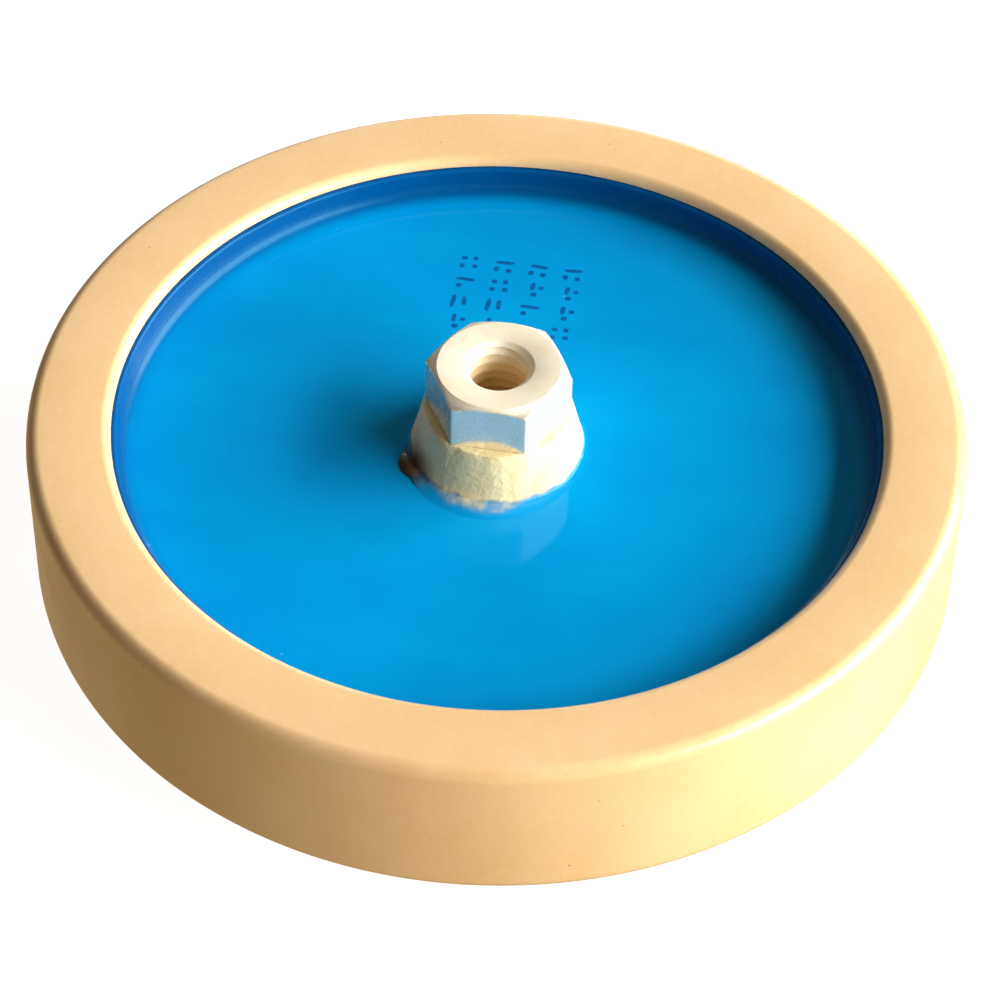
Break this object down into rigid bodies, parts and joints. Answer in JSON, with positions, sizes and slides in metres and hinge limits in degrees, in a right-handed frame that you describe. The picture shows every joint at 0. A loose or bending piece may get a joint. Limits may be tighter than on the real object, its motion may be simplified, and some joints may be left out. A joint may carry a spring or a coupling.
{
  "type": "ceramic plate capacitor",
  "caption": "High-voltage ceramic disc capacitor with a thick rim, a blue enamelled recess on each face and a threaded hexagonal terminal at the centre of each recess.",
  "frame": {"origin": "centre of the lower terminal's end face", "axes": "+Z along the disc's axis, from the lower terminal towards the upper one; +X through two corners of both hexagons"},
  "size_m": [0.11, 0.11, 0.0352],
  "materials": {
    "ceramic": null,
    "glaze": "warm beige glaze, satin to glossy",
    "silver": "fired silver film, matt",
    "enamel": "brushed and stoved blue enamel, glossy",
    "solder": "soft solder, dull",
    "terminal": "silver-plated brass, satin",
    "cement": "filled epoxy cement, matt and lumpy",
    "ink": "stamped marking ink, matt"
  },
  "bodies": {
    "root": {"ceramic_disc": "ceramic", "rim_glaze": "glaze", "upper_electrode": "silver", "upper_enamel_coat": "enamel", "upper_solder_joint": "solder", "upper_terminal": "terminal", "upper_cement_collar": "cement", "lower_electrode": "silver", "lower_enamel_coat": "enamel", "lower_solder_joint": "solder", "lower_terminal": "terminal", "lower_cement_collar": "cement"}
  },
  "joints": []
}
